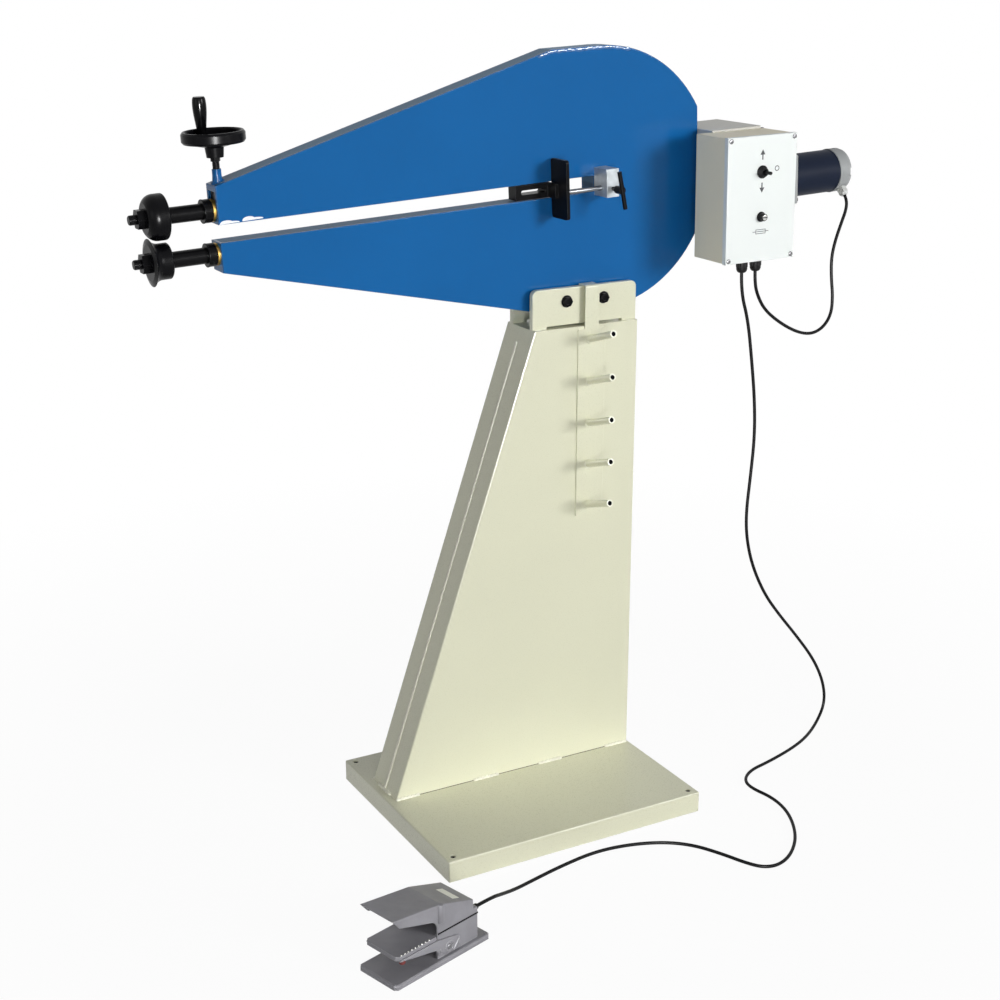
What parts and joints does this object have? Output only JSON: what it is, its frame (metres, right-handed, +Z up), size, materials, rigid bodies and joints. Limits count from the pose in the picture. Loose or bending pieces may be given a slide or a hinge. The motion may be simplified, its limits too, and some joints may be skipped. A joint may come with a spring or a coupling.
{
  "type": "electric bead roller",
  "caption": "Motor driven bead roller on a tapered floor stand: deep-throat frame, two geared roll shafts, handwheel screw, depth stop, control box and foot pedal.",
  "frame": {"origin": "middle of the base's four bolt holes, on the floor", "axes": "+Z up, +X from the rolls to the motor, -Y towards the user at the control panel"},
  "size_m": [1.6127, 0.776, 1.569],
  "materials": {
    "cream_paint": "semi-gloss powder coat",
    "blue_paint": "gloss enamel",
    "white_paint": "satin powder coat",
    "grey_paint": "satin powder coat",
    "motor_paint": "gloss enamel",
    "cap_metal": "as cast, painted silver",
    "black_steel": "black oxide",
    "bright_steel": "ground",
    "iron": "machined",
    "bushing_brass": "turned",
    "clamp_alloy": "milled",
    "black_plastic": "moulded",
    "matte_black": "moulded",
    "cord_rubber": "smooth jacket",
    "gland_grey": "moulded",
    "board_green": "laminate",
    "pedal_grey": "hammered paint on die cast"
  },
  "bodies": {
    "machine": {"base_plate": "cream_paint", "column_front": "cream_paint", "column_rear": "cream_paint", "bracket_front": "cream_paint", "bracket_rear": "cream_paint", "die_rack": "cream_paint", "frame_front": "blue_paint", "frame_rear": "blue_paint", "frame_spines": "blue_paint", "throat_strip": "blue_paint", "tip_plates": "blue_paint", "screw_boss": "blue_paint", "box_lid": "white_paint", "box_body": "grey_paint", "gear_housing": "grey_paint", "motor_can": "motor_paint", "reducer_case": "motor_paint", "motor_cap": "cap_metal", "motor_flange": "cap_metal", "bracket_bolts": "black_steel", "motor_bolts": "bright_steel", "cover_screws": "bright_steel", "treadle_pin": "bright_steel", "treadle_spring": "bright_steel", "bearing_blocks": "iron", "shaft_bushes": "bushing_brass", "clamp_block": "clamp_alloy", "panel_fittings": "matte_black", "cord_glands": "matte_black", "pedal_switch": "matte_black", "motor_cord": "cord_rubber", "pedal_cord": "cord_rubber", "motor_gland": "gland_grey", "drive_board": "board_green", "pedal_base": "pedal_grey", "pedal_cover": "pedal_grey"},
    "lower_train": {"lower_shaft": "black_steel", "lower_roll": "black_steel", "lower_nut": "black_steel", "lower_collar": "black_steel", "lower_gear": "iron", "drive_coupling": "bright_steel"},
    "upper_bearing": {"upper_bearing_block": "iron", "upper_bush": "bushing_brass"},
    "upper_train": {"upper_shaft": "black_steel", "upper_roll": "black_steel", "upper_nut": "black_steel", "upper_collar": "black_steel", "upper_gear": "iron"},
    "screw_foot": {"thrust_pad": "bright_steel"},
    "screw": {"adjust_screw": "black_steel", "handwheel": "black_plastic"},
    "handle": {"crank_handle": "black_plastic"},
    "depth_stop": {"stop_plate": "black_steel", "stop_rod": "bright_steel"},
    "stop_clamp": {"clamp_lever": "black_steel"},
    "reversing_lever": {"toggle_lever": "black_plastic"},
    "fuse": {"fuse_cap": "black_plastic"},
    "foot_plate": {"treadle": "pedal_grey"},
    "motor_rotor": {"armature": "iron"}
  },
  "joints": [
    {"name": "roll_drive", "type": "hinge", "parent": "machine", "child": "lower_train", "pos_m": [0.22818, 0.085, 1.25705], "axis": [0.999, 0, 0.0454], "continuous": true},
    {"name": "upper_rocker", "type": "hinge", "parent": "machine", "child": "upper_bearing", "pos_m": [0.45631, 0.085, 1.34749], "axis": [0, 1, 0], "range_deg": [-0.025, 0.56]},
    {"name": "upper_roll_turn", "type": "hinge", "parent": "upper_bearing", "child": "upper_train", "pos_m": [0.45631, 0.085, 1.34749], "axis": [0.999, 0, 0.0454], "continuous": true},
    {"name": "screw_lift", "type": "slide", "parent": "machine", "child": "screw_foot", "axis": [-0.0454, 0, 0.999], "range_m": [-0.0004, 0.01]},
    {"name": "handwheel_turn", "type": "hinge", "parent": "screw_foot", "child": "screw", "pos_m": [-0.58471, 0.085, 1.36829], "axis": [-0.0454, 0, 0.999], "range_deg": [-73, 1802]},
    {"name": "handle_spin", "type": "hinge", "parent": "screw", "child": "handle", "pos_m": [-0.59578, 0.1245, 1.45788], "axis": [-0.0454, 0, 0.999], "continuous": true},
    {"name": "stop_slide", "type": "slide", "parent": "machine", "child": "depth_stop", "axis": [0.999, 0, 0.0454], "range_m": [-0.02, 0.085]},
    {"name": "clamp_turn", "type": "hinge", "parent": "machine", "child": "stop_clamp", "pos_m": [0.21851, -0.015, 1.29365], "axis": [0, 1, 0], "range_deg": [-90, 90]},
    {"name": "reverse_switch", "type": "hinge", "parent": "machine", "child": "reversing_lever", "pos_m": [0.50184, -0.102, 1.32201], "axis": [0.9998, 0, 0.0209], "range_deg": [-12, 12]},
    {"name": "fuse_release", "type": "hinge", "parent": "machine", "child": "fuse", "pos_m": [0.50374, -0.102, 1.23153], "axis": [0, -1, 0], "range_deg": [0, 45]},
    {"name": "treadle_press", "type": "hinge", "parent": "machine", "child": "foot_plate", "pos_m": [-0.43196, -0.43594, 0.026], "axis": [0.2924, -0.9563, 0], "range_deg": [0, 9], "stiffness_Nm_per_rad": 4, "springref_deg": -22.92},
    {"name": "armature_spin", "type": "hinge", "parent": "machine", "child": "motor_rotor", "pos_m": [0.7876, 0.085, 1.28245], "axis": [0.999, 0, 0.0454], "continuous": true}
  ],
  "couplings": [
    {"joint": "upper_roll_turn", "follows": "roll_drive", "ratio": -1},
    {"joint": "armature_spin", "follows": "roll_drive", "ratio": 20},
    {"joint": "upper_rocker", "follows": "screw_lift", "rad_per_m": 0.96246},
    {"joint": "handwheel_turn", "follows": "screw_lift", "rad_per_m": 3141.6}
  ]
}
